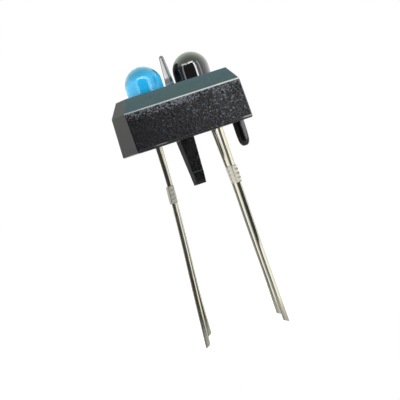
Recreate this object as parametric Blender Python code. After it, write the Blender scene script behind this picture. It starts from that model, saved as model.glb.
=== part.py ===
"""Reflective optical sensor: an infrared emitter and a phototransistor held side by side in one moulding.

Metres, +Z up. z = 0 is the underside that sits on the circuit board, centred on the origin.
X runs from the emitter to the detector, Y from front to back.
"""

import math

import bmesh
import bpy

for old in list(bpy.data.objects):
    bpy.data.objects.remove(old)

MM = 0.001

# Housing block
BODY_LENGTH = 10.2 * MM
BODY_DEPTH = 5.8 * MM
EAVE_HEIGHT = 3.41 * MM
ROOF_HEIGHT = 4.59 * MM
ROOF_END_INSET = 0.59 * MM
ROOF_LIP = 0.075 * MM
WALL_DRAFT = math.radians(6.5)
BASE_ROUND = 0.13 * MM
CORNER_ROUND = 0.10 * MM
EDGE_ROUND = 0.05 * MM

# Where the two optical axes stand
EMITTER_X = -2.2 * MM
DETECTOR_X = 2.04 * MM

# Lens bodies of cast epoxy
LENS_RADIUS = 1.575 * MM
LENS_TOP = 6.86 * MM
LENS_FLARE = 0.015 * MM
FLANGE_RADIUS = 1.78 * MM
FLANGE_HEIGHT = 1.0 * MM
FLANGE_FLAT = 1.62 * MM
SHOULDER_HEIGHT = 2.66 * MM
BORE_CLEARANCE = 0.015 * MM
POCKET_CLEARANCE = 0.06 * MM

# Small catches that keep each flange up against its shoulder
NUB_REACH = 0.14 * MM
NUB_WIDTH = 0.6 * MM
NUB_HEIGHT = 0.35 * MM
NUB_LAND = 0.10 * MM
NUB_ROOT = 0.14 * MM
NUB_GAP = 0.02 * MM

# Light barrier between the domes
FIN_X = -0.035 * MM
FIN_TOP = 7.13 * MM
FIN_THICKNESS = 0.18 * MM
FIN_DEPTH_FOOT = 2.02 * MM
FIN_DEPTH_TOP = 1.12 * MM
FIN_TOP_ROUND = 0.36 * MM
FIN_TOP_SWEEP = math.radians(86)
FIN_TOP_THINNING = 0.35
FOOT_HEIGHT = 0.68 * MM
FOOT_THICKNESS = 0.28 * MM
FOOT_DEPTH = 2.16 * MM
FOOT_UPRIGHT = 0.10 * MM

# Tapered clip under the middle and round peg under the detector end
CLIP_X = -0.03 * MM
CLIP_LENGTH = 3.94 * MM
CLIP_STEP_AT = 2.87 * MM
CLIP_STEP = 0.05 * MM
CLIP_STEP_HEIGHT = 0.04 * MM
CLIP_FRONT = 0.10 * MM
CLIP_ROOT_WIDTH = 1.22 * MM
CLIP_ROOT_DEPTH = 1.60 * MM
CLIP_TIP_WIDTH = 0.85 * MM
CLIP_TIP_DEPTH = 1.08 * MM
CLIP_LEAD_IN = 0.12 * MM
CLIP_LEAD_IN_LENGTH = 0.2 * MM
PEG_X = 4.52 * MM
PEG_LENGTH = 2.07 * MM
PEG_RADIUS = 0.495 * MM
PEG_TIP_RADIUS = 0.475 * MM
PEG_TIP_ROUND = 0.29 * MM
PEG_STRAIGHT = 0.1 * MM

# Leads, square wire punched from strip
LEAD_PITCH = 2.54 * MM
LEAD_SIDE = 0.40 * MM
TIP_SLANT = 0.22 * MM
STUB_TOP = 3.30 * MM
STUB_BOTTOM = 4.75 * MM
STUB_GROOVE = 0.03 * MM
STUB_GROOVES = 3
STUB_GROOVE_HALF_HEIGHT = 0.07 * MM
EPOXY_GAP = 0.012 * MM
LEAD_STRAIGHT = 0.25 * MM
BEND_START = 0.05 * MM

# Frame heads and what is bonded on them
HEAD_TOP = 4.05 * MM
HEAD_NECK = 0.42 * MM
POST_NECK = 0.55 * MM
POST_REACH = 0.85 * MM
POST_SLOPE = 0.25 * MM
HEAD_REACH = 0.37 * MM
HEAD_FILLET = 0.1 * MM
CUP_RADIUS = 0.46 * MM
CUP_BASE_RADIUS = 0.345 * MM
CUP_WALL = 0.09 * MM
CUP_FLOOR_RADIUS = 0.24 * MM
CUP_DEPTH = 0.24 * MM
CUP_CUT_PAST = 0.1 * MM
CUP_HEIGHT = 0.50 * MM
EMITTER_CHIP_SIDE = 0.30 * MM
EMITTER_CHIP_HEIGHT = 0.20 * MM
DETECTOR_CHIP_SIDE = 0.52 * MM
DETECTOR_CHIP_HEIGHT = 0.18 * MM
WIRE_RADIUS = 0.018 * MM
WIRE_RISE = 0.16 * MM
WIRE_RINGS = 12
WIRE_SIDES = 8
WIRE_BOND_Y = -1.04 * MM
BOND_SPACE_WIDTH = 0.60 * MM
BOND_SPACE_TOP = 4.50 * MM
BOND_SPACE_LAP = 0.05 * MM
BOND_SPACE_END = 0.10 * MM

# How each lead runs below the epoxy: points (x, depth under the seating face), hand-bent a little outward
EMITTER_FRONT_RUN = [(-2.99, 0.0), (-3.17, 4.9), (-3.385, 8.2), (-3.77, 12.3), (-4.185, 16.87)]
EMITTER_BACK_RUN = [(-2.22, 0.0), (-2.48, 4.95), (-2.74, 8.26), (-3.09, 12.4), (-3.21, 16.18)]
DETECTOR_FRONT_RUN = [(2.53, 0.0), (2.57, 4.93), (2.625, 10.95), (2.82, 16.97)]
DETECTOR_BACK_RUN = [(2.64, 0.0), (2.95, 4.97), (3.01, 8.3), (3.12, 12.47), (3.13, 16.4)]

# What the shear left of the tie bar: (burr across the lead, length left on the lead's edges)
FRONT_STUB = (0.07 * MM, 0.22 * MM)
BACK_STUB = (0.015 * MM, 0.06 * MM)

# How far a joined or cutting helper reaches past the face that it meets
JOIN_LAP = 0.3 * MM
CUT_PAST = 0.5 * MM

ROUND_STEPS = 48
SMALL_STEPS = 24
DOME_RINGS = 10
EDGE_RINGS = 5

# Values that follow from the ones above
BORE_RADIUS = LENS_RADIUS + LENS_FLARE + BORE_CLEARANCE
POCKET_RADIUS = FLANGE_RADIUS + POCKET_CLEARANCE
ROOF_HALF_DEPTH = BORE_RADIUS + ROOF_LIP
FLANGE_BOTTOM = SHOULDER_HEIGHT - FLANGE_HEIGHT
DOME_CENTRE = LENS_TOP - LENS_RADIUS
CUP_FLOOR = HEAD_TOP - CUP_DEPTH


def material(name, colour, roughness, metallic=0.0, transmission=0.0):
    """A plain Principled material."""
    made = bpy.data.materials.new(name)
    made.use_nodes = True
    shader = made.node_tree.nodes["Principled BSDF"]
    shader.inputs["Base Color"].default_value = (*colour, 1.0)
    shader.inputs["Roughness"].default_value = roughness
    shader.inputs["Metallic"].default_value = metallic
    shader.inputs["Transmission Weight"].default_value = transmission
    return made


def finish_mesh(name, shape, surface=None, smooth_above=None):
    """Turn a bmesh into a named object, with its normals outward."""
    bmesh.ops.recalc_face_normals(shape, faces=shape.faces)
    mesh = bpy.data.meshes.new(name)
    shape.to_mesh(mesh)
    shape.free()
    made = bpy.data.objects.new(name, mesh)
    bpy.context.scene.collection.objects.link(made)
    if surface:
        mesh.materials.append(surface)
    if smooth_above is not None:
        mesh.shade_smooth()
        mesh.set_sharp_from_angle(angle=smooth_above)
    return made


def loft(name, rings, surface=None, smooth_above=None):
    """Skin a stack of rings that all have the same number of points, and cap both ends."""
    shape = bmesh.new()
    rows = [[shape.verts.new(point) for point in ring] for ring in rings]
    count = len(rows[0])
    for lower, upper in zip(rows, rows[1:]):
        for i in range(count):
            j = (i + 1) % count
            shape.faces.new((lower[i], lower[j], upper[j], upper[i]))
    shape.faces.new(rows[0])
    shape.faces.new(rows[-1])
    return finish_mesh(name, shape, surface, smooth_above)


def circle(radius, z, centre=(0.0, 0.0), steps=ROUND_STEPS):
    """Points of a level circle."""
    turn = 2.0 * math.pi / steps
    cx, cy = centre
    return [(cx + radius * math.cos(i * turn), cy + radius * math.sin(i * turn), z) for i in range(steps)]


def rectangle(x0, x1, y0, y1, z):
    """Points of a level rectangle."""
    return [(x0, y0, z), (x1, y0, z), (x1, y1, z), (x0, y1, z)]


def rounded_rectangle(half_x, half_y, radius, z, steps=4):
    """Points of a level rectangle with round corners."""
    points = []
    for corner, (sx, sy) in enumerate(((1, 1), (-1, 1), (-1, -1), (1, -1))):
        cx = sx * (half_x - radius)
        cy = sy * (half_y - radius)
        for i in range(steps + 1):
            angle = math.pi / 2 * (corner + i / steps)
            points.append((cx + radius * math.cos(angle), cy + radius * math.sin(angle), z))
    return points


def combine(target, tool, operation):
    """Join a hidden helper to an object, or cut it out of it."""
    tool.hide_render = True
    tool.display_type = "WIRE"
    step = target.modifiers.new(tool.name, "BOOLEAN")
    step.operation = operation
    step.solver = "EXACT"
    step.object = tool


def wall_half_depth(z):
    """Half depth of the housing at a height: its long walls lean in."""
    return BODY_DEPTH / 2 - max(z - BASE_ROUND, 0.0) * math.tan(WALL_DRAFT)


def body_ring(z, inset=0.0):
    """Outline of the housing at a height below the eaves."""
    return rounded_rectangle(BODY_LENGTH / 2 - inset, wall_half_depth(z) - inset, CORNER_ROUND, z)


def body_block(surface):
    """The block with its hipped roof and flat top."""
    rings = []
    for i in range(4):
        angle = math.pi / 2 * i / 3
        rings.append(body_ring(BASE_ROUND * (1 - math.cos(angle)), BASE_ROUND * (1 - math.sin(angle))))
    rise = ROOF_HEIGHT - EAVE_HEIGHT
    eave_depth = wall_half_depth(EAVE_HEIGHT)

    def roof_ring(z):
        part = (z - EAVE_HEIGHT) / rise
        half_x = BODY_LENGTH / 2 - ROOF_END_INSET * part
        half_y = eave_depth + (ROOF_HALF_DEPTH - eave_depth) * part
        return rounded_rectangle(half_x, half_y, CORNER_ROUND, z)

    rings.append(body_ring(EAVE_HEIGHT - EDGE_ROUND))
    rings.append(roof_ring(EAVE_HEIGHT + EDGE_ROUND * 0.6))
    rings.append(roof_ring(ROOF_HEIGHT - EDGE_ROUND * 0.4))
    top = rounded_rectangle(
        BODY_LENGTH / 2 - ROOF_END_INSET - EDGE_ROUND * 0.5,
        ROOF_HALF_DEPTH - EDGE_ROUND * 0.5,
        CORNER_ROUND,
        ROOF_HEIGHT,
    )
    rings.append(top)
    return loft("housing", rings, surface)


def fin_ring(z, half_x, half_y):
    """Level section of the fin or its foot, with round edges."""
    ring = rounded_rectangle(half_x, half_y, min(half_x, half_y) * 0.8, z, steps=3)
    return [(x + FIN_X, y, z) for x, y, z in ring]


def light_barrier():
    """Thin upright fin on a low foot, narrowing upward, with a rounded top."""
    foot_top = ROOF_HEIGHT + FOOT_HEIGHT
    rings = [
        fin_ring(ROOF_HEIGHT - JOIN_LAP, FOOT_THICKNESS / 2, FOOT_DEPTH / 2),
        fin_ring(ROOF_HEIGHT + FOOT_UPRIGHT, FOOT_THICKNESS / 2, FOOT_DEPTH / 2),
        fin_ring(foot_top, FIN_THICKNESS / 2, FIN_DEPTH_FOOT / 2),
    ]
    round_start = FIN_TOP - FIN_TOP_ROUND
    for i in range(EDGE_RINGS + 1):
        angle = FIN_TOP_SWEEP * i / EDGE_RINGS
        z = round_start + FIN_TOP_ROUND * math.sin(angle) / math.sin(FIN_TOP_SWEEP)
        half_y = FIN_DEPTH_TOP / 2 - FIN_TOP_ROUND * (1 - math.cos(angle))
        thin = 1.0 - FIN_TOP_THINNING * (i / EDGE_RINGS) ** 2
        rings.append(fin_ring(z, FIN_THICKNESS / 2 * thin, half_y))
    return loft("light_barrier", rings)


def clip():
    """Tapered snap clip with a small step and a lead-in at its tip."""
    back_root = CLIP_FRONT + CLIP_ROOT_DEPTH
    back_tip = CLIP_FRONT + CLIP_TIP_DEPTH

    def ring(depth, front):
        part = depth / CLIP_LENGTH
        half_x = (CLIP_ROOT_WIDTH + (CLIP_TIP_WIDTH - CLIP_ROOT_WIDTH) * part) / 2
        back = back_root + (back_tip - back_root) * part
        return rectangle(CLIP_X - half_x, CLIP_X + half_x, front, back, -depth)

    rings = [
        ring(-JOIN_LAP, CLIP_FRONT),
        ring(CLIP_STEP_AT, CLIP_FRONT),
        ring(CLIP_STEP_AT + CLIP_STEP_HEIGHT, CLIP_FRONT - CLIP_STEP),
        ring(CLIP_LENGTH - CLIP_LEAD_IN_LENGTH, CLIP_FRONT + CLIP_LEAD_IN * 0.6),
        ring(CLIP_LENGTH, CLIP_FRONT + CLIP_LEAD_IN),
    ]
    return loft("clip", rings)


def peg():
    """Round locating peg with a domed tip."""
    centre = (PEG_X, 0.0)
    rings = [circle(PEG_RADIUS, z, centre, SMALL_STEPS) for z in (JOIN_LAP, -PEG_STRAIGHT)]
    for i in range(EDGE_RINGS + 1):
        angle = math.pi / 2 * i / EDGE_RINGS
        radius = PEG_TIP_RADIUS - PEG_TIP_ROUND * (1 - math.cos(angle))
        z = -(PEG_LENGTH - PEG_TIP_ROUND + PEG_TIP_ROUND * math.sin(angle))
        rings.append(circle(radius, z, centre, SMALL_STEPS))
    return loft("peg", rings)


def pocket(axis_x, name):
    """Stepped hole for one lens: wide for the flange from below, close round the lens above."""
    centre = (axis_x, 0.0)
    rings = [
        circle(POCKET_RADIUS, -CUT_PAST, centre),
        circle(POCKET_RADIUS, SHOULDER_HEIGHT, centre),
        circle(BORE_RADIUS, SHOULDER_HEIGHT, centre),
        circle(BORE_RADIUS, ROOF_HEIGHT + CUT_PAST, centre),
    ]
    return loft(name, rings)


def nub(axis_x, side, name):
    """One catch on a pocket wall, with a lead-in below it."""
    top = FLANGE_BOTTOM - NUB_GAP
    wall = axis_x + side * (POCKET_RADIUS + NUB_ROOT)
    tip = axis_x + side * (POCKET_RADIUS - NUB_REACH)
    foot = axis_x + side * POCKET_RADIUS
    half = NUB_WIDTH / 2
    rings = [
        rectangle(*sorted((wall, foot)), -half, half, top - NUB_HEIGHT),
        rectangle(*sorted((wall, tip)), -half, half, top - NUB_LAND),
        rectangle(*sorted((wall, tip)), -half, half, top),
    ]
    return loft(name, rings)


def build_housing(surface):
    """The one-piece moulding: block, fin, clip, peg, pockets and catches."""
    made = body_block(surface)
    combine(made, light_barrier(), "UNION")
    combine(made, peg(), "UNION")
    for axis_x, name in ((EMITTER_X, "emitter"), (DETECTOR_X, "detector")):
        combine(made, pocket(axis_x, name + "_pocket"), "DIFFERENCE")
        for side in (-1, 1):
            combine(made, nub(axis_x, side, f"{name}_nub_{side + 1}"), "UNION")
    combine(made, clip(), "UNION")
    return made


def flange_ring(axis_x, z):
    """Outline of the flange, flattened on the side of the shorter lead."""
    return [(x, min(y, FLANGE_FLAT), z) for x, y, z in circle(FLANGE_RADIUS, z, (axis_x, 0.0))]


def lens_blank(name, axis_x, surface):
    """Flange, slightly flared body and dome of one lens."""
    centre = (axis_x, 0.0)
    body_foot = LENS_RADIUS + LENS_FLARE
    rings = [
        flange_ring(axis_x, FLANGE_BOTTOM),
        flange_ring(axis_x, SHOULDER_HEIGHT),
        circle(body_foot, SHOULDER_HEIGHT, centre),
    ]
    for i in range(DOME_RINGS):
        angle = math.pi / 2 * i / DOME_RINGS
        rings.append(circle(LENS_RADIUS * math.cos(angle), DOME_CENTRE + LENS_RADIUS * math.sin(angle), centre))
    shape = bmesh.new()
    rows = [[shape.verts.new(point) for point in ring] for ring in rings]
    tip = shape.verts.new((axis_x, 0.0, LENS_TOP))
    for lower, upper in zip(rows, rows[1:]):
        for i in range(ROUND_STEPS):
            j = (i + 1) % ROUND_STEPS
            shape.faces.new((lower[i], lower[j], upper[j], upper[i]))
    for i in range(ROUND_STEPS):
        shape.faces.new((rows[-1][i], rows[-1][(i + 1) % ROUND_STEPS], tip))
    shape.faces.new(rows[0])
    return finish_mesh(name, shape, surface, smooth_above=math.radians(30))


def run_x(run, depth):
    """Where the middle of a lead stands at a depth under the seating face, in metres."""
    for (x0, d0), (x1, d1) in zip(run, run[1:]):
        if depth <= d1 * MM:
            return (x0 + (x1 - x0) * (depth / MM - d0) / (d1 - d0)) * MM
    return run[-1][0] * MM


def lead_ring(x, y, z, half_x, half_y, slant=0.0):
    """Level section of a lead, or one cut on the slant toward its outer side."""
    ring = rectangle(x - half_x, x + half_x, y - half_y, y + half_y, z)
    low = -1 if x < 0 else 1
    return [(px, py, pz + (0.0 if (px - x) * low > 0 else slant)) for px, py, pz in ring]


def lead_run_rings(run, y, stub):
    """Sections of a lead from the seating face to its tip, with the sheared tie-bar stub."""
    half = LEAD_SIDE / 2
    burr, reach = stub
    rings = [lead_ring(run_x(run, 0.0), y, 0.0, half, half)]
    rings.append(lead_ring(run_x(run, STUB_TOP), y, -STUB_TOP, half, half))
    height = STUB_BOTTOM - STUB_TOP
    levels = [(STUB_TOP, 0.0)]
    for groove in range(1, STUB_GROOVES + 1):
        middle = STUB_TOP + height * groove / (STUB_GROOVES + 1)
        levels += [(middle - STUB_GROOVE_HALF_HEIGHT, 0.0), (middle, STUB_GROOVE)]
        levels.append((middle + STUB_GROOVE_HALF_HEIGHT, 0.0))
    levels.append((STUB_BOTTOM, 0.0))
    for depth, sunk in levels:
        x = run_x(run, depth)
        rings.append(lead_ring(x, y, -depth, half + burr - sunk / 3, half + reach - sunk))
    rings.append(lead_ring(run_x(run, STUB_BOTTOM), y, -STUB_BOTTOM, half, half))
    for x, depth in run[1:-1]:
        if depth * MM > STUB_BOTTOM:
            rings.append(lead_ring(x * MM, y, -depth * MM, half, half))
    x, depth = run[-1]
    rings.append(lead_ring(x * MM, y, -depth * MM, half, half, TIP_SLANT))
    return rings


def head_rings(axis_x, side, carries_chip, grow):
    """Sections inside the epoxy: a neck that widens into the chip pad or the wire post."""
    half = LEAD_SIDE / 2 + grow
    y = side * LEAD_PITCH / 2
    outer = y + side * half
    neck_inner = y - side * half
    reach = -side * (HEAD_REACH + grow) if carries_chip else side * (POST_REACH - grow)
    neck = HEAD_NECK if carries_chip else POST_NECK
    slope = 0.0 if carries_chip else POST_SLOPE

    def ring(inner, z):
        return rectangle(axis_x - half, axis_x + half, *sorted((outer, inner)), z)

    return [
        ring(reach, HEAD_TOP + grow),
        ring(reach, HEAD_TOP - neck + slope - grow),
        ring(neck_inner, HEAD_TOP - neck - HEAD_FILLET - grow),
        ring(neck_inner, FLANGE_BOTTOM + LEAD_STRAIGHT),
    ]


def cup_blank(name, axis_x, grow):
    """Round pad under the chip."""
    centre = (axis_x, 0.0)
    rings = [
        circle(CUP_BASE_RADIUS + grow, HEAD_TOP - CUP_HEIGHT - grow, centre, SMALL_STEPS),
        circle(CUP_RADIUS + grow, HEAD_TOP + grow, centre, SMALL_STEPS),
    ]
    return loft(name, rings)


def build_lead(name, axis_x, side, run, stub, pad, surface):
    """One lead from its head inside the epoxy to its cut tip. pad is 'cup', 'flat' or None."""
    rings = head_rings(axis_x, side, pad is not None, 0.0)
    y = side * LEAD_PITCH / 2
    half = LEAD_SIDE / 2
    rings.append(lead_ring(axis_x, y, FLANGE_BOTTOM - BEND_START, half, half))
    rings += lead_run_rings(run, y, stub)
    made = loft(name, rings, surface)
    if pad:
        combine(made, cup_blank(name + "_pad", axis_x, 0.0), "UNION")
    if pad == "cup":
        centre = (axis_x, 0.0)
        slope = (CUP_RADIUS - CUP_WALL - CUP_FLOOR_RADIUS) / CUP_DEPTH
        mouth = CUP_RADIUS - CUP_WALL + slope * CUP_CUT_PAST
        rings = [
            circle(CUP_FLOOR_RADIUS, CUP_FLOOR, centre, SMALL_STEPS),
            circle(mouth, HEAD_TOP + CUP_CUT_PAST, centre, SMALL_STEPS),
        ]
        combine(made, loft(name + "_cup", rings), "DIFFERENCE")
    return made


def build_lens(name, axis_x, surface):
    """Lens with the room its lead frame, chip and wire take up, open where the leads come out."""
    made = lens_blank(name, axis_x, surface)
    for side, carries_chip in ((1, True), (-1, False)):
        rings = head_rings(axis_x, side, carries_chip, EPOXY_GAP)
        half = LEAD_SIDE / 2 + EPOXY_GAP
        rings.append(lead_ring(axis_x, side * LEAD_PITCH / 2, FLANGE_BOTTOM - CUT_PAST, half, half))
        combine(made, loft(f"{name}_lead_room_{side + 1}", rings), "DIFFERENCE")
    combine(made, cup_blank(name + "_pad_room", axis_x, EPOXY_GAP), "DIFFERENCE")
    half = BOND_SPACE_WIDTH / 2
    rings = [
        rectangle(axis_x - half, axis_x + half, WIRE_BOND_Y - BOND_SPACE_END, half, z)
        for z in (HEAD_TOP - BOND_SPACE_LAP, BOND_SPACE_TOP)
    ]
    combine(made, loft(name + "_bond_room", rings), "DIFFERENCE")
    return made


def build_chip(name, axis_x, side_length, height, floor, surface):
    """Square die."""
    half = side_length / 2
    rings = [rectangle(axis_x - half, axis_x + half, -half, half, z) for z in (floor, floor + height)]
    return loft(name, rings, surface)


def build_wire(name, axis_x, chip_top, surface):
    """Fine bond wire looping from the middle of the die to the post."""
    rings = []
    for i in range(WIRE_RINGS + 1):
        part = i / WIRE_RINGS
        y = WIRE_BOND_Y * part
        base = chip_top + (HEAD_TOP - chip_top) * part
        z = base + WIRE_RADIUS + WIRE_RISE * math.sin(math.pi * part)
        lean = math.atan2(HEAD_TOP - chip_top + WIRE_RISE * math.pi * math.cos(math.pi * part), WIRE_BOND_Y)
        ring = []
        for k in range(WIRE_SIDES):
            angle = 2 * math.pi * k / WIRE_SIDES
            out = WIRE_RADIUS * math.sin(angle)
            ring.append((
                axis_x + WIRE_RADIUS * math.cos(angle),
                y - out * math.sin(lean),
                z + out * math.cos(lean),
            ))
        rings.append(ring)
    return loft(name, rings, surface, smooth_above=math.radians(60))


black_moulding = material("black_moulding", (0.018, 0.019, 0.021), 0.55)
blue_epoxy = material("blue_epoxy", (0.05, 0.42, 0.85), 0.06, transmission=0.6)
black_epoxy = material("black_epoxy", (0.008, 0.008, 0.010), 0.06)
tinned_steel = material("tinned_steel", (0.72, 0.71, 0.66), 0.3, metallic=1.0)
die_silicon = material("die_silicon", (0.10, 0.10, 0.12), 0.2)
bond_gold = material("bond_gold", (0.90, 0.66, 0.25), 0.25, metallic=1.0)

build_housing(black_moulding)
build_lens("emitter_lens", EMITTER_X, blue_epoxy)
build_lens("detector_lens", DETECTOR_X, black_epoxy)
build_lead("emitter_cathode_lead", EMITTER_X, 1, EMITTER_BACK_RUN, BACK_STUB, "cup", tinned_steel)
build_lead("emitter_anode_lead", EMITTER_X, -1, EMITTER_FRONT_RUN, FRONT_STUB, None, tinned_steel)
build_lead("detector_collector_lead", DETECTOR_X, 1, DETECTOR_BACK_RUN, BACK_STUB, "flat", tinned_steel)
build_lead("detector_emitter_lead", DETECTOR_X, -1, DETECTOR_FRONT_RUN, FRONT_STUB, None, tinned_steel)
build_chip("emitter_chip", EMITTER_X, EMITTER_CHIP_SIDE, EMITTER_CHIP_HEIGHT, CUP_FLOOR, die_silicon)
build_chip("detector_chip", DETECTOR_X, DETECTOR_CHIP_SIDE, DETECTOR_CHIP_HEIGHT, HEAD_TOP, die_silicon)
build_wire("emitter_bond_wire", EMITTER_X, CUP_FLOOR + EMITTER_CHIP_HEIGHT, bond_gold)
build_wire("detector_bond_wire", DETECTOR_X, HEAD_TOP + DETECTOR_CHIP_HEIGHT, bond_gold)
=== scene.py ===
"""Looks of the reflective optical sensor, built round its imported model.

Lengths are written in millimetres and turned into metres where a mesh, lamp, camera or shader
takes them. Heights count up from the seating face, depths count down from it.
"""

import math

import bmesh
import bpy
from mathutils import Matrix, Vector


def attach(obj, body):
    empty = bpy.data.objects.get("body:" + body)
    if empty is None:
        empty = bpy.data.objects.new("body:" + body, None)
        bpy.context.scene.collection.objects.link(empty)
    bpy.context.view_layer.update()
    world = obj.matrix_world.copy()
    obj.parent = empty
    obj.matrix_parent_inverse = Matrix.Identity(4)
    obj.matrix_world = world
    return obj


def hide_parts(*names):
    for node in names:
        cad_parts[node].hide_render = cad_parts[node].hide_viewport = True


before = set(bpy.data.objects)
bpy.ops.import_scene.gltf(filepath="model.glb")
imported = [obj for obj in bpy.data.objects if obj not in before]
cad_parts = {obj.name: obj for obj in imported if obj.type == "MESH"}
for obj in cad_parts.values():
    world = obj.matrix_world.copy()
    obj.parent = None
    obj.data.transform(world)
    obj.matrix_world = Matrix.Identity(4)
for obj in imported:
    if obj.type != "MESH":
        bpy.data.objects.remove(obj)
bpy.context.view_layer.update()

MM = 0.001
DEGREE = math.pi / 180

# The housing block, as in the solid
BODY_HALF_X, BODY_HALF_Y = 5.1, 2.9
EAVE, ROOF = 3.41, 4.59
ROOF_END_INSET = 0.59
ROOF_HALF_Y = 1.68
DRAFT = math.tan(math.radians(6.5))
BASE_ROUND, CORNER_ROUND, EAVE_ROUND, BRINK_ROUND = 0.13, 0.10, 0.075, 0.05

# The lenses and the pockets that hold them
EMITTER_X, DETECTOR_X = -2.2, 2.04
LENS_R, LENS_FLARE, LENS_TOP = 1.575, 0.015, 6.86
FLANGE_R, FLANGE_FLAT = 1.78, 1.62
FLANGE_EDGE_LOW, FLANGE_EDGE_HIGH = 0.04, 0.03
FLANGE_LOW, SHOULDER = 1.66, 2.66
BORE_R, POCKET_R = 1.605, 1.84
CATCH_REACH, CATCH_HALF_Y = 0.14, 0.3

# The fin on the roof: half thickness and half depth at its foot and along its blade
FIN_X, FIN_TOP = -0.035, 7.13
FIN_FOOT_HALF, FIN_FOOT_DEEP = 0.14, 1.08
FIN_HALF, FIN_DEEP, FIN_NARROWING = 0.09, 1.01, 0.45
FIN_FOOT_TOP = ROOF + 0.68
FIN_ROUND, FIN_SWEEP, FIN_THINNING = 0.36, math.radians(86), 0.35

# The snap clip under the block
CLIP_X = -0.03
CLIP_LENGTH, CLIP_ROOT_WIDTH, CLIP_TIP_WIDTH = 3.94, 1.22, 0.85
CLIP_FRONT, CLIP_BACK_ROOT, CLIP_BACK_TIP = 0.10, 1.70, 1.18
CLIP_STEP_AT, CLIP_STEP, CLIP_CORNER = 2.87, 0.05, 0.05

# The round peg: (depth, radius), from inside the block to the tip
PEG_X = 4.52
PEG_OUTLINE = (
    (-0.3, 0.495), (0.1, 0.495), (0.5, 0.492), (1.0, 0.485), (1.3, 0.473), (1.5, 0.458),
    (1.65, 0.437), (1.78, 0.405), (1.88, 0.362), (1.96, 0.310), (2.02, 0.255), (2.057, 0.205),
    (2.07, 0.150),
)

# The leads: a strip with soft sides, and sheared parts with sharper ones
LEAD_HALF = 0.20
LEAD_Y = 1.27
SOFT_POWER, SHEARED_POWER = 4.5, 12.0
CUT_SLANT = 0.22
LEAD_RING_GAP = 0.3
HEAD_TOP = 4.05
# Their heads in the lens: where the arm ends along y, how thick it is, how far down it narrows
PAD_ARM, POST_ARM = (-0.37, 0.42, 0.52), (0.85, 0.30, 0.65)
PAD_R, PAD_LOW_R, PAD_DEEP = 0.46, 0.345, 0.50
CUP_R, CUP_FLOOR_R, CUP_DEEP = 0.37, 0.24, 0.24

# Where each lead runs: (x, depth), hand-bent a little outward
RUNS = {
    "emitter_front": [
        (-2.99, 0.0), (-3.00, 1.0), (-3.04, 3.0), (-3.18, 4.9), (-3.43, 8.2), (-3.81, 12.3),
        (-4.185, 16.87),
    ],
    "emitter_back": [(-2.22, 0.0), (-2.45, 4.95), (-2.67, 8.26), (-3.01, 12.4), (-3.17, 16.18)],
    "detector_front": [(2.53, 0.0), (2.60, 4.93), (2.66, 10.95), (2.82, 16.97)],
    "detector_back": [(2.62, 0.0), (2.92, 4.97), (2.97, 8.3), (3.08, 12.47), (3.12, 16.4)],
}
# How far each lead is twisted: (degrees, depth)
TWISTS = {
    "emitter_front": [
        (-17.0, 0.0), (-13.0, 2.0), (-5.0, 3.3), (0.0, 5.0), (-1.0, 14.5), (-8.0, 16.9),
    ],
    "emitter_back": [(0.0, 0.0), (3.0, 3.3), (-8.0, 5.0), (-12.0, 9.0), (-6.0, 17.0)],
    "detector_front": [
        (8.0, 0.0), (7.0, 3.2), (-5.0, 4.8), (-6.0, 9.0), (0.0, 10.2), (2.0, 11.2), (2.0, 17.0),
    ],
    "detector_back": [
        (-8.0, 0.0), (-4.0, 2.0), (3.0, 3.0), (4.0, 5.0), (7.0, 8.0), (7.0, 11.0), (0.0, 13.0),
        (0.0, 17.0),
    ],
}
# The stubs that the tie bar leaves: how far they stand out along x and along y
FRONT_STUB, BACK_STUB = (0.07, 0.22), (0.015, 0.06)
STUB_TOP, STUB_LOW, STUB_GROOVES = 3.30, 4.75, 3

# How finely round things are divided
LENS_STEPS, SMALL_STEPS, LEAD_STEPS = 96, 48, 48


# ---- meshes ----

def mesh_object(name, shape):
    bmesh.ops.recalc_face_normals(shape, faces=shape.faces)
    shape.transform(Matrix.Scale(MM, 4))
    data = bpy.data.meshes.new(name)
    shape.to_mesh(data)
    shape.free()
    made = bpy.data.objects.new(name, data)
    bpy.context.scene.collection.objects.link(made)
    return made


def smooth(obj, sharp_angle):
    obj.data.shade_smooth()
    obj.data.set_sharp_from_angle(angle=math.radians(sharp_angle))


def skin(shape, rings):
    """Faces from each ring to the next; gives the rings of vertices."""
    rows = [[shape.verts.new(p) for p in ring] for ring in rings]
    n = len(rows[0])
    for a, b in zip(rows, rows[1:]):
        for i in range(n):
            j = (i + 1) % n
            shape.faces.new((a[i], a[j], b[j], b[i]))
    return rows


def loft(name, rings):
    shape = bmesh.new()
    rows = skin(shape, rings)
    shape.faces.new(rows[0])
    shape.faces.new(rows[-1])
    return mesh_object(name, shape)


def circle(r, z, cx, steps=LENS_STEPS):
    turn = 2 * math.pi / steps
    return [(cx + r * math.cos(i * turn), r * math.sin(i * turn), z) for i in range(steps)]


def box_ring(x0, x1, y0, y1, z):
    return [(x0, y0, z), (x1, y0, z), (x1, y1, z), (x0, y1, z)]


def round_ring(half_x, half_y, r, z, cx=0.0, cy=0.0, steps=6):
    points = []
    for corner, (sx, sy) in enumerate(((1, 1), (-1, 1), (-1, -1), (1, -1))):
        for i in range(steps + 1):
            a = math.pi / 2 * (corner + i / steps)
            x = cx + sx * (half_x - r) + r * math.cos(a)
            y = cy + sy * (half_y - r) + r * math.sin(a)
            points.append((x, y, z))
    return points


def settle(obj):
    """Makes what the modifiers give the object's own mesh."""
    depsgraph = bpy.context.evaluated_depsgraph_get()
    made = bpy.data.meshes.new_from_object(obj.evaluated_get(depsgraph))
    obj.modifiers.clear()
    obj.data = made


def combine(target, tool, operation):
    step = target.modifiers.new(tool.name, "BOOLEAN")
    step.operation = operation
    step.solver = "EXACT"
    step.object = tool
    bpy.context.view_layer.update()
    settle(target)
    bpy.data.objects.remove(tool)


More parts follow.
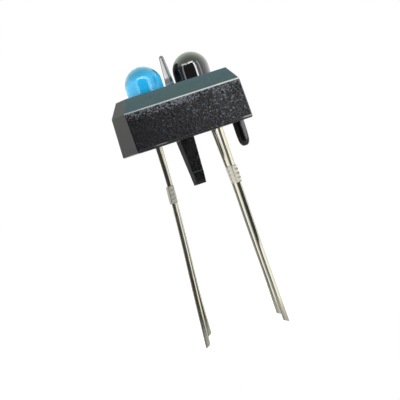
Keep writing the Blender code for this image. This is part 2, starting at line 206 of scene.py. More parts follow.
def wall_y(z):
    return BODY_HALF_Y - max(z - BASE_ROUND, 0.0) * DRAFT


def arc_between(p0, corner, p1, steps):
    """A rounded edge: the quadratic curve from p0 to p1 that runs along both flats at its ends."""
    out = []
    for i in range(steps + 1):
        t = i / steps
        out.append(tuple(
            (1 - t) ** 2 * a + 2 * t * (1 - t) * c + t * t * b for a, c, b in zip(p0, corner, p1)
        ))
    return out


def block_profile():
    """(height, half length, half depth) up the block, from its rounded foot to its roof."""
    foot_steps, eave_steps, brink_steps = 8, 5, 4
    rows = []
    for i in range(foot_steps + 1):
        a = math.pi / 2 * i / foot_steps
        inset = BASE_ROUND * (1 - math.sin(a))
        rows.append((BASE_ROUND * (1 - math.cos(a)), BODY_HALF_X - inset, BODY_HALF_Y - inset))
    eave_y = wall_y(EAVE)

    def slope(z):
        t = (z - EAVE) / (ROOF - EAVE)
        return (z, BODY_HALF_X - ROOF_END_INSET * t, eave_y + (ROOF_HALF_Y - eave_y) * t)

    low = EAVE - EAVE_ROUND
    rows += arc_between(
        (low, BODY_HALF_X, wall_y(low)), (EAVE, BODY_HALF_X, eave_y),
        slope(EAVE + EAVE_ROUND * 0.8), eave_steps,
    )
    top_x = BODY_HALF_X - ROOF_END_INSET
    rows += arc_between(
        slope(ROOF - BRINK_ROUND * 0.7), (ROOF, top_x, ROOF_HALF_Y),
        (ROOF, top_x - BRINK_ROUND, ROOF_HALF_Y - BRINK_ROUND), brink_steps,
    )
    return rows


def fin_ring(z, half_x, half_y):
    corner = min(half_x, half_y) * 0.8
    return round_ring(half_x, half_y, corner, z, FIN_X, steps=5)


def fin():
    """A foot, a thin blade that narrows upward and a rounded, thinner top edge."""
    blade_steps, round_steps = 6, 8
    rings = [fin_ring(ROOF + rise, FIN_FOOT_HALF, FIN_FOOT_DEEP) for rise in (-0.3, 0.02, 0.10)]
    rings.append(fin_ring(FIN_FOOT_TOP - 0.04, FIN_HALF + 0.003, FIN_DEEP + 0.004))
    rings.append(fin_ring(FIN_FOOT_TOP, FIN_HALF, FIN_DEEP))
    start = FIN_TOP - FIN_ROUND
    for i in range(1, blade_steps):
        t = i / blade_steps
        z = FIN_FOOT_TOP + (start - FIN_FOOT_TOP) * t
        rings.append(fin_ring(z, FIN_HALF, FIN_DEEP - FIN_NARROWING * t))
    for i in range(round_steps + 1):
        t = i / round_steps
        a = FIN_SWEEP * i / round_steps
        z = start + FIN_ROUND * math.sin(a) / math.sin(FIN_SWEEP)
        deep = FIN_DEEP - FIN_NARROWING - FIN_ROUND * (1 - math.cos(a))
        rings.append(fin_ring(z, FIN_HALF * (1.0 - FIN_THINNING * t ** 2), deep))
    return loft("fin", rings)


def clip():
    """A tapered tongue with a small step and a slanted tip on its front."""

    def ring(depth, y_front):
        t = depth / CLIP_LENGTH
        half = (CLIP_ROOT_WIDTH + (CLIP_TIP_WIDTH - CLIP_ROOT_WIDTH) * t) / 2
        y_back = CLIP_BACK_ROOT + (CLIP_BACK_TIP - CLIP_BACK_ROOT) * t
        mid, deep = (y_front + y_back) / 2, (y_back - y_front) / 2
        return round_ring(half, deep, CLIP_CORNER, -depth, CLIP_X, mid, steps=1)

    straight = (-0.3, 0.02, 1.0, 2.0, CLIP_STEP_AT - 0.03, CLIP_STEP_AT)
    front = [(depth, CLIP_FRONT) for depth in straight]
    front += [(CLIP_STEP_AT + fall, CLIP_FRONT - CLIP_STEP) for fall in (0.04, 0.07)]
    front += [
        (CLIP_LENGTH - rise, CLIP_FRONT + back)
        for rise, back in ((0.22, 0.06), (0.03, 0.11), (0, 0.14))
    ]
    return loft("clip", [ring(depth, y_front) for depth, y_front in front])


def peg():
    return loft("peg", [circle(r, -depth, PEG_X, SMALL_STEPS) for depth, r in PEG_OUTLINE])


def pocket(axis_x, name):
    """The hole for a lens, longer than the block is high: a wide pocket and a narrower bore."""
    return loft(name, [
        circle(POCKET_R, -0.5, axis_x), circle(POCKET_R, SHOULDER, axis_x),
        circle(BORE_R, SHOULDER, axis_x), circle(BORE_R, ROOF + 0.5, axis_x),
    ])


def catch(axis_x, side, name):
    """A small catch on the pocket's wall, just under the flange."""
    top = FLANGE_LOW - 0.02
    wall, tip, foot = (
        axis_x + side * r for r in (POCKET_R + CATCH_REACH, POCKET_R - CATCH_REACH, POCKET_R)
    )
    return loft(name, [
        box_ring(*sorted((wall, inner)), -CATCH_HALF_Y, CATCH_HALF_Y, z)
        for inner, z in ((foot, top - 0.35), (tip, top - 0.10), (tip, top))
    ])


def build_housing():
    rings = [round_ring(half_x, half_y, CORNER_ROUND, z) for z, half_x, half_y in block_profile()]
    made = loft("housing_moulding", rings)
    combine(made, fin(), "UNION")
    combine(made, peg(), "UNION")
    for axis_x, word in ((EMITTER_X, "emitter"), (DETECTOR_X, "detector")):
        combine(made, pocket(axis_x, word + "_pocket"), "DIFFERENCE")
        for side in (-1, 1):
            combine(made, catch(axis_x, side, f"{word}_nub_{side + 1}"), "UNION")
    combine(made, clip(), "UNION")
    smooth(made, 28)
    even = made.modifiers.new("even_normals", "WEIGHTED_NORMAL")
    even.keep_sharp = True
    even.weight = 100
    settle(made)
    return made


def build_lens(name, axis_x):
    """Dome, body and flange as one turned solid with a fine mesh."""
    flange = (
        (FLANGE_R - FLANGE_EDGE_LOW, FLANGE_LOW), (FLANGE_R, FLANGE_LOW + FLANGE_EDGE_LOW),
        (FLANGE_R, SHOULDER - FLANGE_EDGE_HIGH), (FLANGE_R - FLANGE_EDGE_HIGH, SHOULDER),
    )
    rings = [[(x, min(y, FLANGE_FLAT), z) for x, y, z in circle(r, z, axis_x)] for r, z in flange]
    rings.append(circle(LENS_R + LENS_FLARE, SHOULDER, axis_x))
    centre = LENS_TOP - LENS_R
    rings.append(circle(LENS_R + LENS_FLARE * 0.5, (SHOULDER + centre) / 2, axis_x))
    dome_steps = 30
    for i in range(dome_steps):
        a = math.pi / 2 * i / dome_steps
        rings.append(circle(LENS_R * math.cos(a), centre + LENS_R * math.sin(a), axis_x))
    shape = bmesh.new()
    rows = skin(shape, rings)
    tip = shape.verts.new((axis_x, 0.0, LENS_TOP))
    last = rows[-1]
    for i in range(len(last)):
        shape.faces.new((last[i], last[(i + 1) % len(last)], tip))
    shape.faces.new(rows[0])
    made = mesh_object(name, shape)
    smooth(made, 35)
    return made


def at_depth(points, depth):
    """The value at a depth, on straight lines between (value, depth) points."""
    for (v0, d0), (v1, d1) in zip(points, points[1:]):
        if depth <= d1:
            return v0 + (v1 - v0) * (depth - d0) / (d1 - d0)
    return points[-1][0]


def eased_x(run, depth):
    """Where the lead runs, with its kinks eased over a short length."""
    reach, count = 0.9, 4
    length = run[-1][1]
    near = [depth + reach * k / count for k in range(-count, count + 1)]
    mean = sum(at_depth(run, min(max(d, 0.0), length)) for d in near) / len(near)
    ease = min(depth, length - depth, reach) / reach
    return at_depth(run, depth) * (1 - ease) + mean * ease


def depths(start, end):
    """Depths of evenly spaced sections, from start to before end."""
    out = []
    while start < end:
        out.append(start)
        start += LEAD_RING_GAP
    return out


def stub_levels():
    """(depth, how far the faces are sunk) down a stub: its two ends and the grooves between."""
    levels = [(STUB_TOP, 0.02), (STUB_TOP + 0.03, 0.0)]
    for groove in range(1, STUB_GROOVES + 1):
        middle = STUB_TOP + (STUB_LOW - STUB_TOP) * groove / (STUB_GROOVES + 1)
        for off, sunk in ((-0.07, 0.0), (-0.02, 0.03), (0.02, 0.03), (0.07, 0.0)):
            levels.append((middle + off, sunk))
    return levels + [(STUB_LOW - 0.04, 0.0), (STUB_LOW, 0.02)]


def lead_ring(x, y, z, half_x, half_y, twist=0.0, slant=0.0, power=SOFT_POWER):
    """Section of a lead: a square with soft sides, turned by twist degrees about its middle.

    A slant lifts the side toward the part's middle, and the other side stays level.
    """
    outward = -1 if x < 0 else 1
    c, s = math.cos(math.radians(twist)), math.sin(math.radians(twist))
    ring = []
    for i in range(LEAD_STEPS):
        a = 2 * math.pi * (i + 0.5) / LEAD_STEPS
        ca, sa = math.cos(a), math.sin(a)
        r = (abs(ca) ** power + abs(sa) ** power) ** (-1 / power)
        px, py = half_x * r * ca, half_y * r * sa
        px, py = c * px - s * py, s * px + c * py
        lift = slant * max(0.5 - outward * px / (2 * half_x), 0.0)
        ring.append((x + px, y + py, z + lift))
    return ring


def build_lead(name, axis_x, side, run, twist, stub, pad):
    half = LEAD_HALF
    y = side * LEAD_Y
    outer, inner = y + side * half, y - side * half

    def head(edge, z):
        lo, hi = sorted((outer, edge))
        return lead_ring(axis_x, (hi + lo) / 2, z, half, (hi - lo) / 2, power=SHEARED_POWER)

    def plain(depth, lift=0.0, slant=0.0):
        x = eased_x(run, depth)
        return lead_ring(x, y, lift - depth, half, half, at_depth(twist, depth), slant)

    reach, thick, narrowed = PAD_ARM if pad else POST_ARM
    rings = [
        head(side * reach, HEAD_TOP), head(side * reach, HEAD_TOP - thick),
        head(inner, HEAD_TOP - narrowed), head(inner, FLANGE_LOW + 0.25),
    ]
    neck_steps = 8
    for i in range(1, neck_steps + 1):
        t = i / neck_steps
        x = axis_x + (run[0][0] - axis_x) * (t * t * (3 - 2 * t))
        rings.append(lead_ring(x, y, (FLANGE_LOW - 0.05) * (1 - t), half, half))
    rings += [plain(depth) for depth in depths(0.3, STUB_TOP - 0.1)]
    rings.append(plain(STUB_TOP, lift=0.02))
    stub_x, stub_y = stub
    for depth, sunk in stub_levels():
        x = eased_x(run, depth)
        off_middle = abs(2 * (depth - STUB_TOP) / (STUB_LOW - STUB_TOP) - 1)
        rounding = 0.2 if x < 0 else 0.7
        swell = stub_x * (1 - rounding * off_middle ** 3)
        rings.append(lead_ring(
            x, y, -depth, half + swell - sunk / 3, half + stub_y - sunk, power=SHEARED_POWER
        ))
    length = run[-1][1]
    rings += [plain(depth) for depth in depths(STUB_LOW + 0.02, length - 0.25)]
    rings.append(plain(length, slant=CUT_SLANT))
    made = loft(name, rings)
    if pad:
        disc = loft(name + "_pad", [
            circle(PAD_LOW_R, HEAD_TOP - PAD_DEEP, axis_x, SMALL_STEPS),
            circle(PAD_R, HEAD_TOP, axis_x, SMALL_STEPS),
        ])
        combine(made, disc, "UNION")
    if pad == "cup":
        over = 0.1
        rim_r = CUP_R + (CUP_R - CUP_FLOOR_R) / CUP_DEEP * over
        cut = loft(name + "_cup", [
            circle(CUP_FLOOR_R, HEAD_TOP - CUP_DEEP, axis_x, SMALL_STEPS),
            circle(rim_r, HEAD_TOP + over, axis_x, SMALL_STEPS),
        ])
        combine(made, cut, "DIFFERENCE")
    smooth(made, 40)
    return made


# ---- materials ----

WHITE = (1.0, 1.0, 1.0)


class Shading:
    """Short ways to add and link shader nodes."""

    def __init__(self, tree):
        self.tree = tree

    def add(self, kind, **settings):
        made = self.tree.nodes.new(kind)
        for key, value in settings.items():
            setattr(made, key, value)
        return made

    def feed(self, socket, value):
        if isinstance(value, bpy.types.NodeSocket):
            self.tree.links.new(value, socket)
        else:
            socket.default_value = value

    def math(self, operation, a, b=0.0):
        made = self.add("ShaderNodeMath", operation=operation)
        self.feed(made.inputs[0], a)
        self.feed(made.inputs[1], b)
        return made.outputs[0]

    def minus(self, a, b):
        return self.math("SUBTRACT", a, b)

    def size(self, value):
        return self.math("ABSOLUTE", value)

    def total(self, value, *others):
        for other in others:
            value = self.math("ADD", value, other)
        return value

    def product(self, value, *others):
        for other in others:
            value = self.math("MULTIPLY", value, other)
        return value

    def span(self, value, low, high, to_low=0.0, to_high=1.0):
        """A soft ramp: to_low at low, to_high at high, and level outside."""
        made = self.add("ShaderNodeMapRange", interpolation_type="SMOOTHSTEP")
        for socket, v in zip(made.inputs[:5], (value, low, high, to_low, to_high)):
            self.feed(socket, v)
        return made.outputs[0]

    def band(self, value, edges, unit):
        """1 between the two inner edges, 0 outside the two outer ones."""
        low, full_low, full_high, high = (edge * unit for edge in edges)
        return self.product(self.span(value, low, full_low), self.span(value, high, full_high))

    def mix(self, factor, a, b):
        made = self.add("ShaderNodeMix", data_type="FLOAT")
        for index, value in ((0, factor), (2, a), (3, b)):
            self.feed(made.inputs[index], value)
        return made.outputs[0]

    def blend(self, factor, a, b):
        """The colour a, and b where the factor is 1."""
        made = self.add("ShaderNodeMix", data_type="RGBA")
        self.feed(made.inputs[0], factor)
        for index, colour in ((6, a), (7, b)):
            is_socket = isinstance(colour, bpy.types.NodeSocket)
            self.feed(made.inputs[index], colour if is_socket else (*colour, 1.0))
        return made.outputs[2]

    def split(self, vector):
        made = self.add("ShaderNodeSeparateXYZ")
        self.feed(made.inputs[0], vector)
        return made.outputs


class Nodes(Shading):
    """The nodes of one material, placed on the object itself."""

    def __init__(self, name):
        self.material = bpy.data.materials.new(name)
        self.material.use_nodes = True
        super().__init__(self.material.node_tree)
        self.shader = self.tree.nodes["Principled BSDF"]
        self.output = self.tree.nodes["Material Output"]
        self.place = self.add("ShaderNodeTexCoord").outputs["Object"]

    def shade(self, values):
        """Sets or links sockets of the shader."""
        for name, value in values.items():
            self.feed(self.shader.inputs[name], value)

    def axes(self):
        return self.split(self.place)

    def facing(self, normal):
        return self.split(self.add("ShaderNodeNewGeometry").outputs[normal])

    def over(self, axis, low, high, to_low=0.0, to_high=1.0):
        """A span along an axis of the object, with its ends in millimetres."""
        return self.span(axis, low * MM, high * MM, to_low, to_high)

    def scaled(self, scale):
        """The place on the object, in cells of 1/scale millimetres."""
        step = self.add("ShaderNodeMapping")
        self.feed(step.inputs["Vector"], self.place)
        step.inputs["Scale"].default_value = tuple(s / MM for s in scale)
        return step.outputs["Vector"]

    def noise(self, scale, detail=2.0, rough=0.5):
        made = self.add("ShaderNodeTexNoise")
        self.feed(made.inputs["Vector"], self.scaled(scale))
        made.inputs["Scale"].default_value = 1.0
        made.inputs["Detail"].default_value = detail
        made.inputs["Roughness"].default_value = rough
        return made.outputs["Fac"]

    def speckle(self, scale):
        """One random value in each small cell."""
        made = self.add("ShaderNodeTexVoronoi")
        self.feed(made.inputs["Vector"], self.scaled(scale))
        made.inputs["Scale"].default_value = 1.0
        split = self.add("ShaderNodeSeparateColor")
        self.feed(split.inputs[0], made.outputs["Color"])
        return split.outputs[0]

    def bump(self, height, strength, distance):
        made = self.add("ShaderNodeBump")
        self.feed(made.inputs["Height"], height)
        self.feed(made.inputs["Strength"], strength)
        made.inputs["Distance"].default_value = distance * MM
        return made.outputs["Normal"]


def painted_wall_glints(n, x, z, soft, pits):
    """Painted glints on the eroded walls: pale specks that stand in for their sparkle, few at the
    lower left, more to the right and upward, many under the eave and fewer again at the right end."""
    crowd = n.total(
        n.product(x, 45.0), n.product(n.minus(z, 1.7 * MM), 60.0), n.product(soft, 0.5)
    )
    threshold = n.minus(1.00, n.product(crowd, 0.85))
    under_eave = n.product(n.over(z, 2.6, 3.1), n.over(x, -1.0, 3.0, 0.46, 0.22))
    threshold = n.total(n.minus(threshold, under_eave), n.over(x, 3.7, 4.6, 0.0, 0.17))
    patches = n.product(n.minus(pits, 0.5), 0.5)
    return n.span(n.total(n.minus(n.speckle((9.5, 9.5, 9.5)), threshold), patches), 0.0, 0.45)


def moulding():
    """Black plastic: spark-eroded grain on the long walls, smoother roof and ends, polished fin,
    with painted glints, sheen, highlights and shade in its colour.
    """
    n = Nodes("moulding")
    x, y, z = n.axes()
    facing_x, facing_y, _ = n.facing("True Normal")
    side = n.size(facing_x)
    grain = n.noise((6.5, 6.5, 6.5), 3.0, 0.7)
    pits = n.noise((4.2, 4.2, 4.2), 2.0, 0.6)
    soft = n.noise((0.55, 0.55, 0.55), 2.0, 0.5)
    tint = n.noise((2.6, 2.6, 2.6), 2.0, 0.6)

    # Which part of the moulding a place belongs to
    wall = n.product(n.span(n.size(facing_y), 0.85, 0.95), n.over(z, 3.42, 3.34))
    end = n.product(n.span(side, 0.80, 0.88), n.over(n.size(x), 4.42, 4.48))
    roof = n.over(z, 3.38, 3.46)
    fin_part = n.over(z, 5.1, 5.35)
    below = n.over(z, 0.0, -0.05)
    below_side = n.product(below, n.span(side, 0.80, 0.95))

    # Painted highlights: thin lines along the eave, parts of the foot, the fin's front edge and
    # fillet, and the clip's step; and a painted shadow line under the walls
    eave_highlight = n.product(
        n.band(z, (3.33, 3.37, 3.43, 3.47), MM), n.over(n.size(y), 2.3, 2.4),
        n.span(n.total(n.product(x, 60.0), soft), -0.1, 0.9, 0.45, 1.0),
    )
    left_highlight_spot = n.over(n.size(n.total(x, 3.0 * MM)), 0.7, 0.3, 0.04, 0.40)
    foot_highlight = n.product(
        n.band(z, (0.10, 0.16, 0.20, 0.27), MM),
        n.math("MAXIMUM", left_highlight_spot, n.over(x, 4.1, 4.5)),
        n.span(facing_y, -0.5, -0.8),
    )
    foot_shadow = n.product(wall, n.over(z, 0.13, 0.07))
    fin_edge_highlight = n.product(n.span(facing_y, -0.45, -0.80), n.over(z, 5.15, 5.3))
    fin_fillet_highlight = n.band(z, (4.66, 4.71, 4.78, 4.84), MM)
    clip_step_highlight = n.product(
        n.band(z, (-2.92, -2.88, -2.85, -2.81), MM), n.span(facing_y, -0.3, -0.6)
    )

    # Painted sheen: the roof's teal colour stands in for the tinted sheen of the light from above
    # and grows lighter towards the top; its mottling is random tone.
    roof_sheen_colour = n.blend(n.span(soft, 0.35, 0.65), (0.014, 0.064, 0.092), (0.028, 0.075, 0.078))
    roof_sheen_colour = n.blend(n.span(pits, 0.30, 0.70), roof_sheen_colour, (0.040, 0.082, 0.090))
    roof_sheen_colour = n.blend(n.over(z, 4.1, 4.5, 0.0, 0.6), roof_sheen_colour, (0.034, 0.092, 0.110))
    # Painted light: the end faces grow lighter towards the top.
    end_painted_colour = n.blend(n.over(z, 0.3, 3.2), (0.046, 0.046, 0.046), (0.060, 0.060, 0.058))
    base = n.blend(n.span(tint, 0.35, 0.65), (0.002, 0.003, 0.009), (0.006, 0.005, 0.006))
    for mask, colour in (
        # Painted glints on the walls
        (n.product(painted_wall_glints(n, x, z, soft, pits), wall), (0.185, 0.205, 0.235)),
        (roof, roof_sheen_colour),
        (end, end_painted_colour),
        (fin_part, (0.03, 0.03, 0.033)),
        # Painted highlights and a painted shadow line
        (eave_highlight, (0.80, 0.85, 0.85)),
        (foot_shadow, (0.002, 0.002, 0.003)),
        (foot_highlight, (0.45, 0.46, 0.45)),
        (fin_edge_highlight, (0.40, 0.42, 0.43)),
        (fin_fillet_highlight, (0.30, 0.33, 0.34)),
        (below, (0.003, 0.003, 0.004)),
        (clip_step_highlight, (0.12, 0.15, 0.17)),
    ):
        base = n.blend(mask, base, colour)

    # The fin's polish ends before its slanted edge and its top
    lean = 0.3
    edge_y = n.minus((FIN_DEEP + lean * FIN_FOOT_TOP) * MM, n.product(z, lean))
    rim = n.over(n.minus(edge_y, n.size(n.total(y, 0.06 * MM))), 0.36, 0.16)
    rim = n.product(n.math("MAXIMUM", rim, n.over(z, 6.93, 6.99)), fin_part)
    rough = n.total(0.24, n.product(n.minus(grain, 0.5), 0.3))
    for mask, value in (
        (roof, 0.50), (end, 0.80), (below, 0.14), (below_side, 0.80), (fin_part, 0.10), (rim, 0.50),
    ):
        rough = n.mix(mask, rough, value)

    height = n.total(n.product(grain, 0.6), n.product(pits, 0.4))
    strength = n.total(0.06, n.product(wall, 0.85))
    strength = n.product(strength, n.minus(1.0, n.product(fin_part, 0.9)))
    n.shade({
        "Base Color": base, "Roughness": rough, "IOR": 1.5,
        "Normal": n.bump(height, strength, 0.035),
    })
    return n.material


def blue_epoxy():
    """Clear epoxy dyed blue; the dye shows more the thicker the lens is."""
    n = Nodes("blue_epoxy")
    x, y, z = n.axes()
    # Painted shade: the lens is greyer towards its foot, where it meets the block.
    clear = n.blend(n.over(z, 4.55, 5.15), (0.62, 0.66, 0.66), WHITE)
    # Painted shade: a deeper, darker blue patch to the right of the dome's front
    turn = n.math("ARCTAN2", n.minus(x, EMITTER_X * MM), n.product(y, -1.0))
    painted_dark_patch = n.product(n.band(turn, (19, 26, 31, 38), DEGREE), n.band(z, (4.7, 5.2, 5.5, 6.1), MM))
    ripple = n.noise((1.1, 1.1, 1.6))
    n.shade({
        "Base Color": n.blend(painted_dark_patch, clear, (0.02, 0.36, 0.58)),
        "Roughness": n.span(ripple, 0.3, 0.7, 0.05, 0.10),
        "Transmission Weight": 1.0, "IOR": 1.5, "Specular IOR Level": 1.0,
    })
    dye = n.add("ShaderNodeVolumeAbsorption")
    dye.inputs["Color"].default_value = (0.03, 0.80, 0.95, 1.0)
    dye.inputs["Density"].default_value = 1300.0
    n.feed(n.output.inputs["Volume"], dye.outputs[0])
    return n.material


def black_epoxy():
    """Epoxy that is black to the eye and glossy."""
    n = Nodes("black_epoxy")
    haze = n.noise((0.8, 0.8, 1.2))
    n.shade({
        "Base Color": n.blend(
            n.span(haze, 0.35, 0.65), (0.004, 0.005, 0.005), (0.010, 0.010, 0.012)
        ),
        "Roughness": n.span(haze, 0.3, 0.7, 0.03, 0.07),
        "IOR": 1.58, "Specular IOR Level": 1.0,
    })
    return n.material


def tinned():
    """Tin-plated strip: drawn streaks, a faint yellow cast, painted shade on the sides, dull
    sheared stubs.
    """
    n = Nodes("tinned")
    x, y, z = n.axes()
    streak = n.noise((16.0, 16.0, 0.7), 3.0, 0.6)
    cloud = n.noise((1.6, 1.6, 0.5))
    # Painted shade: the side faces of the strip are darker than its front and back.
    shaded_sides = n.span(n.size(n.facing("Normal")[0]), 0.62, 0.92)
    base = n.blend(n.span(cloud, 0.35, 0.65), (0.56, 0.54, 0.41), (0.50, 0.49, 0.42))
    base = n.blend(n.span(streak, 0.60, 0.75), base, (0.30, 0.29, 0.22))
    base = n.blend(shaded_sides, base, (0.26, 0.25, 0.20))

    # The stubs are darker in the middle of their grooves, and painted shade darkens their sides
    stub = n.band(z, (-4.79, -4.75, -3.30, -3.26), MM)
    turns = 2 * math.pi * (STUB_GROOVES + 1) / ((STUB_LOW - STUB_TOP) * MM)
    groove = n.math("COSINE", n.product(n.total(z, STUB_TOP * MM), turns))
    left_middle = n.over(n.size(n.total(x, 3.14 * MM)), 0.22, 0.13)
    groove = n.product(
        n.span(groove, 0.2, 0.9), n.math("MAXIMUM", left_middle, n.over(x, 2.45, 2.62)),
        n.over(y, -0.3, 0.3, 1.0, 0.25),
    )
    stub_side_shade = n.product(shaded_sides, n.over(x, -1.0, 1.0, 0.6, 0.2))
    # Painted light: the stubs on the right are lighter than those on the left.
    cut = n.blend(n.over(x, -1.0, 1.0), (0.52, 0.51, 0.46), (0.80, 0.77, 0.67))
    cut = n.blend(groove, cut, (0.36, 0.34, 0.29))
    cut = n.blend(stub_side_shade, cut, (0.30, 0.29, 0.24))

    rough = n.total(n.span(streak, 0.3, 0.7, 0.08, 0.16), n.product(shaded_sides, 0.2))
    n.shade({
        "Base Color": n.blend(stub, base, cut), "Metallic": 1.0,
        "Roughness": n.mix(stub, rough, 0.5), "Normal": n.bump(streak, 0.08, 0.006),
    })
    return n.material


def fine_grained(name, cells, colours, roughness, relief, metallic):
    n = Nodes(name)
    grain = n.noise((cells, cells, cells), 1.0, 0.5)
    n.shade({
        "Base Color": n.blend(n.span(grain, 0.4, 0.6), *colours), "Metallic": metallic,
        "Roughness": n.span(grain, 0.3, 0.7, *roughness), "Normal": n.bump(grain, 0.1, relief),
    })
    return n.material


# ---- pieces ----

def dress(piece, surface, node):
    piece.data.materials.clear()
    piece.data.materials.append(surface)
    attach(piece, "root")
    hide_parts(node)


PLASTIC, BLUE, BLACK, TIN = moulding(), blue_epoxy(), black_epoxy(), tinned()

dress(build_housing(), PLASTIC, "housing")
dress(build_lens("emitter_dome", EMITTER_X), BLUE, "emitter_lens")
dress(build_lens("detector_dome", DETECTOR_X), BLACK, "detector_lens")
for node, axis_x, side, run, stub, pad in (
    ("emitter_cathode_lead", EMITTER_X, 1, "emitter_back", BACK_STUB, "cup"),
    ("emitter_anode_lead", EMITTER_X, -1, "emitter_front", FRONT_STUB, None),
    ("detector_collector_lead", DETECTOR_X, 1, "detector_back", BACK_STUB, "flat"),
    ("detector_emitter_lead", DETECTOR_X, -1, "detector_front", FRONT_STUB, None),
):
    lead = build_lead(node + "_tinned", axis_x, side, RUNS[run], TWISTS[run], stub, pad)
    dress(lead, TIN, node)

SILICON = fine_grained(
    "silicon", 30.0, ((0.05, 0.05, 0.07), (0.11, 0.11, 0.13)), (0.15, 0.3), 0.005, 0.0
)
GOLD = fine_grained(
    "gold", 40.0, ((0.92, 0.66, 0.25), (0.85, 0.60, 0.22)), (0.2, 0.35), 0.003, 1.0
)
for node, surface in (
    ("emitter_chip", SILICON), ("detector_chip", SILICON),
    ("emitter_bond_wire", GOLD), ("detector_bond_wire", GOLD),
):
    for slot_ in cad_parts[node].material_slots:
        slot_.material = surface


# ---- camera and light ----

CAMERA_AT = Vector((-61.457, -240.261, -1.054)) * MM
YAW, PITCH, ROLL = (math.radians(v) for v in (14.199, -0.954, -18.149))


def aim():
    cy, sy, cp, sp = math.cos(YAW), math.sin(YAW), math.cos(PITCH), math.sin(PITCH)
    forward = Vector((sy * cp, cy * cp, sp))
    right = Vector((cy, -sy, 0.0))
    up = right.cross(forward)
    cr, sr = math.cos(ROLL), math.sin(ROLL)
    right, up = cr * right + sr * up, -sr * right + cr * up
    return Matrix((
        (right.x, up.x, -forward.x, CAMERA_AT.x),
        (right.y, up.y, -forward.y, CAMERA_AT.y),
        (right.z, up.z, -forward.z, CAMERA_AT.z),
        (0.0, 0.0, 0.0, 1.0),
    ))


lens = bpy.data.cameras.new("camera")
lens.lens = 270.0
lens.sensor_width = 36.0
lens.clip_start, lens.clip_end = 0.01, 20.0
camera = bpy.data.objects.new("camera", lens)
camera.matrix_world = aim()
bpy.context.scene.collection.objects.link(camera)
bpy.context.scene.camera = camera

# The azimuth that the camera looks from, which the room and lamps are set out from
FRONT = -14.2
LAMP_TARGET = Vector((0, 0, 5.5 * MM))
STRIP_DISTANCE, SOFTBOX_DISTANCE = 100, 160


def lamp(name, azimuth, elevation, distance, width, height, radiance, diffuse=True, glossy=True):
    """A softbox that faces the part. Azimuth is from straight in front, toward +X."""
    a, e = math.radians(azimuth), math.radians(elevation)
    toward = Vector((math.sin(a) * math.cos(e), -math.cos(a) * math.cos(e), math.sin(e)))
    data = bpy.data.lights.new(name, "AREA")
    data.shape = "RECTANGLE"
    data.size, data.size_y = width * MM, height * MM
    data.energy = radiance * math.pi * data.size * data.size_y
    made = bpy.data.objects.new(name, data)
    made.location = LAMP_TARGET + toward * distance * MM
    made.rotation_mode = "QUATERNION"
    made.rotation_quaternion = toward.to_track_quat("Z", "Y")
    made.visible_camera = False
    made.visible_diffuse = diffuse
    made.visible_glossy = glossy
    made.visible_transmission = False
    bpy.context.scene.collection.objects.link(made)
    return made


# Groups of pieces that have strips of their own, which give them gloss only
LIT_BY = {
    "blue": ("emitter_dome",),
    "black": ("detector_dome",),
    "leads": (
        "emitter_anode_lead_tinned", "emitter_cathode_lead_tinned",
        "detector_emitter_lead_tinned", "detector_collector_lead_tinned",
    ),
    "block": ("housing_moulding",),
}
for word, pieces in LIT_BY.items():
    group = bpy.data.collections.new(word)
    for piece in pieces:
        group.objects.link(bpy.data.objects[piece])

# Name, azimuth from FRONT, elevation, width, height, radiance, group
STRIPS = (
    ("strip_left", -46, 4, 15, 125, 1.1, "black"),
    ("strip_right", 34.3, 4, 14, 125, 8.0, "black"),
    ("strip_right_far", 60.7, 4, 13, 125, 1.7, "black"),
    ("glow_right", 36, 4, 28, 125, 0.8, "black"),
    ("glow_right_leads", 36, 4, 28, 125, 1.6, "leads"),
    ("glow_right_leads_far", 55, 4, 42, 125, 0.7, "leads"),
    ("strip_right_block", 47, 16, 19, 95, 6.0, "block"),
    ("glow_right_block", 80, 4, 80, 125, 3.1, "block"),
    ("strip_left_blue", -37, 4, 25, 125, 3.4, "blue"),
    ("glow_left_blue", -70, 4, 90, 125, 1.7, "blue"),
    ("glow_far_left_blue", -118, 4, 80, 125, 1.5, "blue"),
    ("strip_right_blue", 39, 4, 31, 125, 4.4, "blue"),
    ("glow_right_blue", 62, 4, 16, 125, 0.6, "blue"),
    ("strip_top_left", -34, 42, 60, 17, 4.0, "black"),
    ("strip_top_right", 15, 44, 56, 17, 6.6, "black"),
    ("strip_top_blue_left", -27, 44, 46, 24, 5.5, "blue"),
    ("strip_top_blue", 9, 44, 44, 22, 8.5, "blue"),
    ("strip_top_blue_right", 31, 38, 24, 24, 7.0, "blue"),
)
for name, azimuth, elevation, width, height, radiance, word in STRIPS:
    at = (FRONT + azimuth, elevation, STRIP_DISTANCE)
    strip = lamp(name, *at, width, height, radiance, diffuse=False)
    strip.light_linking.receiver_collection = bpy.data.collections[word]
for name, azimuth, elevation, width, radiance in (
    ("softbox_top", 0, 78, 160, 1.8),
    ("panel_left", -60, 25, 120, 0.7),
    ("panel_right", 70, 25, 120, 1.2),
):
    lamp(name, FRONT + azimuth, elevation, SOFTBOX_DISTANCE, width, 120, radiance, glossy=False)


# ---- room and floor ----

BACK_GLOW = 2.4
FLOOR_FRONT, FLOOR_REACH, FLOOR_Z = -30.0, 3000.0, -16.98


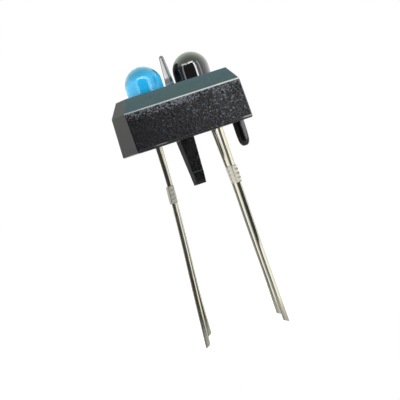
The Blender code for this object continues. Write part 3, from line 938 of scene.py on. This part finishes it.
def white_room():
    """White to the camera. In reflections it is brighter behind the part, with a dark window
    where the camera stands and a shade on the left."""
    world = bpy.data.worlds.new("room")
    bpy.context.scene.world = world
    world.use_nodes = True
    world.node_tree.nodes.clear()
    n = Shading(world.node_tree)
    path = n.add("ShaderNodeLightPath").outputs
    turn = n.add("ShaderNodeMapping")
    turn.inputs["Rotation"].default_value = (0.0, 0.0, -math.radians(FRONT))
    n.feed(turn.inputs["Vector"], n.add("ShaderNodeTexCoord").outputs["Generated"])
    x, y, z = n.split(turn.outputs["Vector"])
    azimuth = n.math("ARCTAN2", x, n.product(y, -1.0))
    window = n.product(n.band(azimuth, (-42, -39, 41, 44), DEGREE), n.span(z, 0.66, 0.60))
    shade = n.product(n.band(azimuth, (-147, -141, -52, -44), DEGREE), n.span(z, 0.72, 0.35))
    glossy = n.product(
        n.span(y, -0.45, 0.85, 0.80, BACK_GLOW),
        n.span(shade, 0.0, 1.0, 1.0, 0.19), n.span(window, 0.0, 1.0, 1.0, 0.08),
    )
    tint = n.blend(n.span(z, 0.1, 0.75), WHITE, (0.90, 1.0, 0.86))
    diffuse = n.span(z, -0.5, 0.9, 0.30, 0.65)
    seen = n.math("MAXIMUM", path["Is Camera Ray"], path["Is Transmission Ray"])
    is_glossy = path["Is Glossy Ray"]
    level = n.total(
        n.product(is_glossy, glossy), n.product(n.minus(1.0, is_glossy), diffuse)
    )
    back = n.add("ShaderNodeBackground")
    n.feed(back.inputs["Color"], n.blend(is_glossy, WHITE, tint))
    n.feed(back.inputs["Strength"], n.total(seen, n.product(n.minus(1.0, seen), level)))
    out = n.add("ShaderNodeOutputWorld")
    n.feed(out.inputs[0], back.outputs[0])


def white_floor():
    """A white table that glows for the camera, less where a lens or a gloss shows it near."""
    shape = bmesh.new()
    corners = box_ring(-FLOOR_REACH, FLOOR_REACH, FLOOR_FRONT, FLOOR_REACH, FLOOR_Z)
    shape.faces.new([shape.verts.new(p) for p in corners])
    made = mesh_object("floor", shape)
    n = Nodes("floor_white")
    path = n.add("ShaderNodeLightPath").outputs
    glossy, through_lens = path["Is Glossy Ray"], path["Is Transmission Ray"]
    shown = n.math("MAXIMUM", path["Is Camera Ray"], n.math("MAXIMUM", glossy, through_lens))
    grain = n.noise((0.05, 0.05, 0.05))
    y = n.axes()[1]
    near_lens = n.product(through_lens, n.over(y, 110.0, 10.0))
    near_gloss = n.product(glossy, n.over(y, 60.0, 5.0))
    level = n.product(
        n.span(near_lens, 0.0, 1.0, 0.66, 0.15), n.span(near_gloss, 0.0, 1.0, 1.0, 0.25)
    )
    n.shade({
        "Base Color": n.blend(n.span(grain, 0.3, 0.7), (0.60, 0.60, 0.60), (0.62, 0.62, 0.62)),
        "Roughness": 0.9, "Specular IOR Level": 0.0,
        "Emission Color": (*WHITE, 1.0), "Emission Strength": n.product(shown, level),
    })
    made.data.materials.append(n.material)


white_room()
white_floor()

bpy.context.scene.view_settings.view_transform = "Standard"
